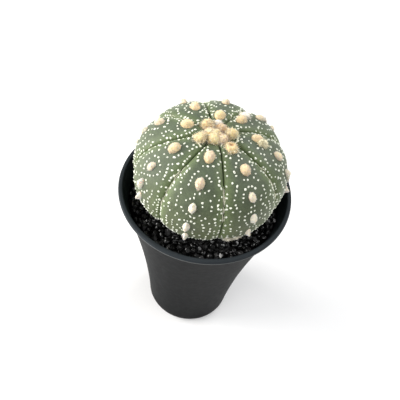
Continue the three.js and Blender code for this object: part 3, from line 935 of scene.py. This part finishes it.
def build_pot(material):
    lip_bottom = POT_TOP - LIP_HEIGHT
    lip_wall = wall_radius(lip_bottom)
    inner_top = inner_radius(POT_TOP)
    base = wall_radius(0)
    bead = (RIM_RADIUS - LIP_BEAD, lip_bottom + LIP_BEAD)
    shoulder = (RIM_RADIUS - LIP_BEAD - LIP_ROUND, POT_TOP - LIP_ROUND)
    profile = [
        (0, BASE_RECESS_DEPTH),
        (BASE_RECESS_RADIUS - BASE_CHAMFER, BASE_RECESS_DEPTH),
        (BASE_RECESS_RADIUS, 0),
        *arc((base - BASE_CHAMFER, BASE_CHAMFER), BASE_CHAMFER, -90, -10, 5),
        *[(wall_radius(z), z) for z in np.linspace(BASE_CHAMFER, lip_bottom - WALL_END, 26)],
        *[(lip_wall - UNDERCUT, lip_bottom - below) for below in UNDERCUT_HEIGHTS],
        (lip_wall, lip_bottom),
        *arc(bead, LIP_BEAD, -90, 70, 6),
        (RIM_RADIUS - LIP_BEAD, lip_bottom + LIP_STEP),
        *arc(shoulder, LIP_ROUND, 0, 90, 5),
        *arc((inner_top + INNER_ROUND, POT_TOP - INNER_ROUND), INNER_ROUND, 90, 180, 4),
        *[(inner_radius(z), z) for z in np.linspace(POT_TOP - 1, FLOOR_TOP + 1.2, 24)],
        *[(inner_radius(FLOOR_TOP) - inset, FLOOR_TOP + rise) for inset, rise in FLOOR_CORNER],
        (0, FLOOR_TOP),
    ]
    points, faces = revolve(profile, POT_SIDES)
    drill_drains(add_piece("pot_shell", points, faces, material, ["pot"]))


def drill_drains(pot):
    """Cut a ring of holes and one in the middle through the pot's base."""
    low, high = -1, FLOOR_TOP + 1
    drain, faces = revolve([(0, low), (DRAIN_RADIUS, low), (DRAIN_RADIUS, high), (0, high)], DRAIN_SIDES)
    centres = np.append(polar_points(DRAIN_CIRCLE, even_turns(DRAIN_COUNT), 0), [[0, 0, 0]], 0)
    points, faces = repeated(centres[:, None] + drain, faces)
    cutter = add_object("drains", new_mesh("drains", points, faces, smooth=False))
    cut = pot.modifiers.new("drains", "BOOLEAN")
    cut.operation, cut.solver, cut.object = "DIFFERENCE", "EXACT", cutter
    bpy.context.view_layer.update()
    finished = bpy.data.meshes.new_from_object(pot.evaluated_get(bpy.context.evaluated_depsgraph_get()))
    cleaned = bmesh.new()
    cleaned.from_mesh(finished)
    bmesh.ops.remove_doubles(cleaned, verts=cleaned.verts, dist=0.01 * MM)
    bmesh.ops.dissolve_degenerate(cleaned, edges=cleaned.edges, dist=0.01 * MM)
    bmesh.ops.triangulate(cleaned, faces=cleaned.faces)
    cleaned.to_mesh(finished)
    cleaned.free()
    pot.modifiers.clear()
    pot.data = finished
    bpy.data.objects.remove(cutter)


# Materials.

class Nodes:
    """A new node material, with short calls to add and link its nodes."""

    def __init__(self, name):
        self.material = bpy.data.materials.new(name)
        self.material.use_nodes = True
        self.tree = self.material.node_tree
        self.tree.nodes.clear()
        self.shader = self.add("BsdfPrincipled")
        self.add("OutputMaterial", {"Surface": self.shader.outputs["BSDF"]})
        self.place = self.add("TexCoord").outputs["Object"]

    def add(self, kind, inputs=(), **settings):
        node = self.tree.nodes.new("ShaderNode" + kind)
        for key, value in settings.items():
            setattr(node, key, value)
        self.feed(node, inputs)
        return node

    def feed(self, node, inputs):
        """Give inputs a value, or link them to another node's output."""
        for key, value in dict(inputs).items():
            if isinstance(value, bpy.types.NodeSocket):
                self.tree.links.new(value, node.inputs[key])
            else:
                node.inputs[key].default_value = value

    def set(self, **values):
        """Feed the shader's own inputs, with _ for a space in their names."""
        self.feed(self.shader, {key.replace("_", " "): value for key, value in values.items()})

    def noise(self, size_mm, detail, roughness, distortion=0.0):
        inputs = {"Vector": self.place, "Scale": 1 / (size_mm * MM), "Detail": detail}
        inputs.update({"Roughness": roughness, "Distortion": distortion})
        return self.add("TexNoise", inputs).outputs["Fac"]

    def attribute(self, name):
        return self.add("Attribute", attribute_name=name).outputs["Fac"]

    def ramp(self, source, stops):
        node = self.add("ValToRGB", {"Fac": source})
        elements = node.color_ramp.elements
        while len(elements) < len(stops):
            elements.new(0.5)
        for element, (position, value) in zip(elements, stops):
            element.position = position
            element.color = (*value, 1) if isinstance(value, tuple) else (value, value, value, 1)
        return node.outputs["Color"]

    def mix(self, share, first, second, blend="MIX"):
        first, second = [(*value, 1) if isinstance(value, tuple) else value for value in (first, second)]
        inputs = {0: share, 6: first, 7: second}
        return self.add("Mix", inputs, data_type="RGBA", blend_type=blend).outputs[2]

    def vary(self, colour, share, pattern, low, high):
        """The colour, varied by a pattern: low and high are (pattern, brightness)."""
        return self.mix(share, colour, self.ramp(pattern, [low, high]), "MULTIPLY")

    def maths(self, operation, first, second, clamp=False):
        inputs = {0: first, 1: second}
        return self.add("Math", inputs, operation=operation, use_clamp=clamp).outputs[0]

    def times(self, first, second, clamp=False):
        return self.maths("MULTIPLY", first, second, clamp)

    def bump(self, height, distance_mm, strength):
        inputs = {"Height": height, "Distance": distance_mm * MM, "Strength": strength}
        return self.add("Bump", inputs).outputs["Normal"]


def skin_material():
    n = Nodes("cactus_skin")
    beside = n.attribute("beside_groove")
    down = n.attribute("down_rib")
    # Greens down the rib, darker at the top as painted shade between the crown tufts and darker towards the
    # bottom as painted shade on the underside.
    greens = [
        (0.06, (0.042, 0.056, 0.038)),
        (0.16, (0.073, 0.095, 0.059)),
        (0.35, (0.083, 0.106, 0.056)),
        (0.54, (0.082, 0.098, 0.038)),
        (0.6, (0.06, 0.069, 0.029)),
        (0.66, (0.034, 0.038, 0.02)),
    ]
    bank = n.ramp(n.maths("DIVIDE", beside, 6.0), [(0.15, 1.0), (0.9, 0.0)])
    colour = n.mix(n.times(bank, 0.7), n.ramp(down, greens), (0.122, 0.166, 0.062))
    colour = n.mix(n.times(n.attribute("areole_near"), 0.65), colour, (0.064, 0.08, 0.051))
    mottle = n.noise(6.0, 4, 0.6)
    colour = n.vary(colour, 0.5, mottle, (0.3, 0.7), (0.7, 1.3))
    colour = n.vary(colour, 0.6, n.noise(0.8, 3, 0.7), (0.35, 0.68), (0.65, 1.3))
    # A painted shade line along the bottom of each groove's crease, fainter near the top.
    line = n.ramp(n.maths("DIVIDE", beside, 1.2), [(0.05, 1.0), (0.23, 0.0)])
    line = n.times(line, n.ramp(down, [(0.1, 0.5), (0.26, 1.0)]))
    colour = n.mix(line, colour, (0.028, 0.046, 0.014))
    n.set(Base_Color=colour, Roughness=n.ramp(mottle, [(0.3, 0.5), (0.7, 0.64)]))
    n.set(Normal=n.bump(n.noise(0.8, 4, 0.65), 0.1, 0.6), Specular_IOR_Level=0.35)
    n.set(Subsurface_Weight=0.06, Subsurface_Scale=0.0012, Subsurface_Radius=(0.5, 1.0, 0.25))
    n.set(Sheen_Weight=0.2, Sheen_Roughness=0.4, Sheen_Tint=(0.9, 1.0, 0.82, 1))
    return n.material


def wool_material():
    n = Nodes("areole_wool")
    age = n.attribute("wool_age")
    depth = n.attribute("wool_depth")
    strand = n.attribute("wool_strand")
    tones = [
        (0.0, (0.96, 0.8, 0.47)),
        (0.3, (0.94, 0.77, 0.52)),
        (0.5, (0.95, 0.84, 0.66)),
        (0.7, (0.97, 0.95, 0.84)),
        (1.0, (0.98, 0.97, 0.92)),
    ]
    # The lower wool turns browner and darker: partly its own deeper tone, partly painted shade on the
    # cushion's underside.
    deep_tone_and_shade = n.ramp(age, [(0.0, (0.76, 0.53, 0.27)), (0.4, (0.76, 0.54, 0.33)), (1.0, (0.94, 0.9, 0.78))])
    colour = n.mix(n.ramp(depth, [(0.45, 0.0), (1.0, 0.8)]), n.ramp(age, tones), deep_tone_and_shade)
    colour = n.mix(n.times(n.attribute("wool_brown"), 0.6), colour, (0.62, 0.38, 0.22))
    # Darker brown at the cushion's base and in a dimple: partly the wool's own brown, partly painted shade.
    hollow_brown_and_shade = n.ramp(depth, [(0.9, 0.0), (1.0, 1.0)])
    colour = n.mix(n.times(hollow_brown_and_shade, 0.7), colour, (0.56, 0.32, 0.19))
    blush = n.times(n.attribute("wool_blush"), n.ramp(depth, [(0.0, 0.75), (0.55, 0.0)]))
    colour = n.mix(blush, colour, (0.9, 0.7, 0.58))
    patch = n.noise(0.9, 4, 0.65, distortion=1.0)
    colour = n.vary(colour, 0.6, patch, (0.34, 0.7), (0.66, 1.22))
    # By strand: the dome under the hairs is painted darker as the shade between them, the fringe is painted
    # lighter and bluish as a sheen, and the felt hairs differ in tone at random.
    lights = [
        (0.0, (0.92, 0.86, 0.73)),
        (0.3, (0.82, 0.74, 0.61)),
        (0.8, (1.24, 1.24, 1.22)),
        (1.0, (1.24, 1.3, 1.44)),
    ]
    colour = n.mix(0.85, colour, n.ramp(strand, lights), "MULTIPLY")
    n.set(Base_Color=colour, Normal=n.bump(n.noise(0.3, 4, 0.65, distortion=2.0), 0.2, 0.9))
    n.set(Roughness=0.95, Sheen_Weight=0.25, Sheen_Roughness=0.5, Specular_IOR_Level=0.15)
    n.set(Subsurface_Weight=0.5, Subsurface_Scale=0.002, Subsurface_Radius=(1.0, 0.75, 0.45))
    return n.material


def white_material(name, colour, size_mm, cream=None):
    """Matte white wool; cream is its tone where the piece's fluff_cream is 1."""
    n = Nodes(name)
    if cream is not None:
        colour = n.mix(n.attribute("fluff_cream"), colour, cream)
    colour = n.vary(colour, 0.6, n.noise(size_mm, 3, 0.6), (0.3, 0.7), (0.7, 1.1))
    n.set(Base_Color=colour, Normal=n.bump(n.noise(0.25, 3, 0.7), 0.12, 0.8))
    n.set(Roughness=0.95, Sheen_Weight=0.2, Specular_IOR_Level=0.15)
    return n.material


def gravel_material(name, shaded):
    n = Nodes(name)
    if shaded:
        tone = n.ramp(n.noise(2.2, 3, 0.6), [(0.3, 0.002), (0.7, 0.006)])
    else:
        tone = n.ramp(n.attribute("grain"), [(0.0, 0.002), (0.5, 0.006), (0.85, 0.014), (1.0, 0.032)])
    streak = n.noise(0.9, 4, 0.65)
    n.set(Base_Color=n.vary(tone, 0.5, streak, (0.3, 0.6), (0.7, 1.5)))
    n.set(Roughness=n.ramp(streak, [(0.3, 0.12), (0.7, 0.32)]), Specular_IOR_Level=0.6)
    n.set(Normal=n.bump(n.noise(0.6, 3, 0.6), 0.08, 0.6))
    return n.material


def pot_material():
    """Dark plastic, its wall below the lip painted darker than the rim as shade, with a painted shadow as a
    dark line and a painted highlight as a light edge at the lip's foot, and a darker inside.
    """
    n = Nodes("pot_plastic")
    split = n.add("SeparateXYZ", {"Vector": n.place})
    above = n.maths("SUBTRACT", split.outputs["Z"], (POT_TOP - LIP_HEIGHT) * MM)
    # Tones by the height in mm above the lip's foot, on a ramp of this many mm round it.
    span = 4
    # Below the lip the wall is painted darker than the rim as shade; just under the lip is a painted shadow
    # line, and on the lip's bead a painted highlight.
    tones = [
        (-1.0, (0.0056, 0.0062, 0.0068)),
        (-0.4, (0.0012, 0.0013, 0.0014)),
        (0.0, (0.0012, 0.0013, 0.0014)),
        (0.08, (0.15, 0.155, 0.155)),
        (0.4, (0.12, 0.125, 0.125)),
        (0.64, (0.027, 0.032, 0.036)),
    ]
    stops = [(0.5 + height / span, tone) for height, tone in tones]
    colour = n.ramp(n.maths("ADD", n.times(above, 1 / (span * MM)), 0.5), stops)
    # More than a millimetre inside the wall's outer face there is one plain tone.
    flat = n.add("VectorMath", {0: n.place, 1: (1, 1, 0)}, operation="MULTIPLY")
    reach = n.add("VectorMath", {0: flat.outputs["Vector"]}, operation="LENGTH")
    wall = n.maths("ADD", n.times(above, 0.25), (WALL_RADIUS - 1.0) * MM)
    within = n.maths("SUBTRACT", wall, reach.outputs["Value"])
    colour = n.mix(n.times(within, 1 / (0.2 * MM), clamp=True), colour, (0.018, 0.023, 0.025))
    colour = n.vary(colour, 0.5, n.noise(14, 4, 0.6), (0.3, 0.9), (0.7, 1.2))
    n.set(Base_Color=colour, Roughness=n.ramp(n.noise(3.2, 6, 0.7), [(0.3, 0.44), (0.7, 0.52)]))
    n.set(Normal=n.bump(n.noise(0.35, 3, 0.6), 0.02, 0.3), Specular_IOR_Level=0.06, IOR=1.33)
    return n.material


def soil_material():
    n = Nodes("potting_mix")
    crumb = n.add("TexVoronoi", {"Vector": n.place, "Scale": 1 / (3.0 * MM)})
    browns = [(0.0, (0.11, 0.075, 0.048)), (0.5, (0.06, 0.04, 0.026)), (0.9, (0.02, 0.014, 0.01))]
    colour = n.ramp(crumb.outputs["Distance"], browns)
    n.set(Base_Color=n.vary(colour, 0.6, n.noise(2, 4, 0.6), (0.3, 0.6), (0.7, 1.6)))
    n.set(Roughness=0.95, Specular_IOR_Level=0.2, Normal=n.bump(crumb.outputs["Distance"], 0.8, 0.9))
    return n.material


def root_material():
    n = Nodes("root_bark")
    n.set(Base_Color=n.ramp(n.noise(2.5, 5, 0.65), [(0.3, (0.16, 0.1, 0.06)), (0.7, (0.36, 0.26, 0.16))]))
    n.set(Roughness=0.9, Normal=n.bump(n.noise(1.0, 4, 0.6), 0.2, 0.8))
    return n.material


def floor_material():
    n = Nodes("floor")
    n.set(Base_Color=n.ramp(n.noise(60, 2, 0.5), [(0.3, 0.82), (0.7, 0.84)]))
    n.set(Roughness=0.8, Specular_IOR_Level=0.2)
    return n.material


# Camera, floor and light.

def build_camera():
    tilt, roll = math.radians(90 - CAMERA_ELEVATION), math.radians(CAMERA_ROLL)
    turn = Matrix.Rotation(tilt, 4, "X") @ Matrix.Rotation(roll, 4, "Z")
    place = Vector(CAMERA_AIM) + Vector((0, 0, POT_TOP)) + turn.col[2].xyz * CAMERA_DISTANCE
    data = bpy.data.cameras.new("camera")
    data.lens, data.sensor_width = CAMERA_LENS, CAMERA_SENSOR
    data.clip_start, data.clip_end = 0.01, 20
    camera = add_object("camera", data)
    camera.matrix_world = Matrix.Translation(place * MM) @ turn
    bpy.context.scene.camera = camera


def build_floor():
    corners = FLOOR_HALF_WIDTH * np.array([(-1, -1, 0), (1, -1, 0), (1, 1, 0), (-1, 1, 0)])
    mesh = new_mesh("floor", corners, np.array([(0, 1, 2, 3)]), smooth=False)
    mesh.materials.append(floor_material())
    floor = add_object("floor", mesh)


def build_light():
    world = bpy.data.worlds.new("studio")
    bpy.context.scene.world = world
    world.use_nodes = True
    background = world.node_tree.nodes["Background"]
    background.inputs["Color"].default_value = SKY_COLOUR
    background.inputs["Strength"].default_value = SKY_STRENGTH
    for name, place, power, colour in LAMPS:
        data = bpy.data.lights.new(name, "AREA")
        data.shape, data.size, data.energy, data.color = "DISK", LAMP_SIZE, power, colour
        lamp = add_object(name, data)
        lamp.location = place
        aim = Vector((0, 0, POT_TOP * MM)) - Vector(place)
        lamp.rotation_euler = aim.to_track_quat("-Z", "Y").to_euler()
    bpy.context.scene.view_settings.view_transform = "Standard"


build_camera()
build_floor()
build_light()
build_pot(pot_material())
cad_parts["potting_mix"].data.materials.clear()
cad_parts["potting_mix"].data.materials.append(soil_material())
build_gravel(gravel_material("gravel", shaded=False))
build_bed(gravel_material("gravel_shade", shaded=True))
build_skin(skin_material())
build_root(root_material())
build_areoles(wool_material())
build_crown(wool_material())
build_fluff(white_material("white_fluff", (0.86, 0.82, 0.73), 0.9, cream=(0.9, 0.83, 0.58)))
build_flecks(white_material("white_flecks", (0.86, 0.88, 0.76), 0.6))
build_threads(white_material("dry_hairs", (0.86, 0.85, 0.66), 1.0))
